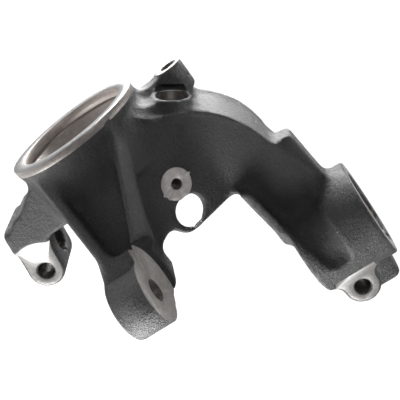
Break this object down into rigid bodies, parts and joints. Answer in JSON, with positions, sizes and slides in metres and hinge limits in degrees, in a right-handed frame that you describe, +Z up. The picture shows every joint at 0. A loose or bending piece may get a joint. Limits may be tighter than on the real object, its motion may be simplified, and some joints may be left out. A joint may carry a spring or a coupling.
{
  "type": "steering knuckle",
  "caption": "One-piece cast steering knuckle: wheel bearing housing, tie rod arm, lower ball joint clamp, and a gooseneck up to a split strut clamp.",
  "frame": {"origin": "centre of the wheel bearing bore where its wall starts, just inside the outboard machined face", "axes": "+X inboard along the wheel axis, +Z up along the strut clamp, -Y towards the steering arm"},
  "size_m": [0.2408, 0.1672, 0.2275],
  "materials": {
    "casting": "black painted sand casting with bare machined faces"
  },
  "bodies": {
    "root": {"steering_knuckle": "casting"}
  },
  "joints": []
}
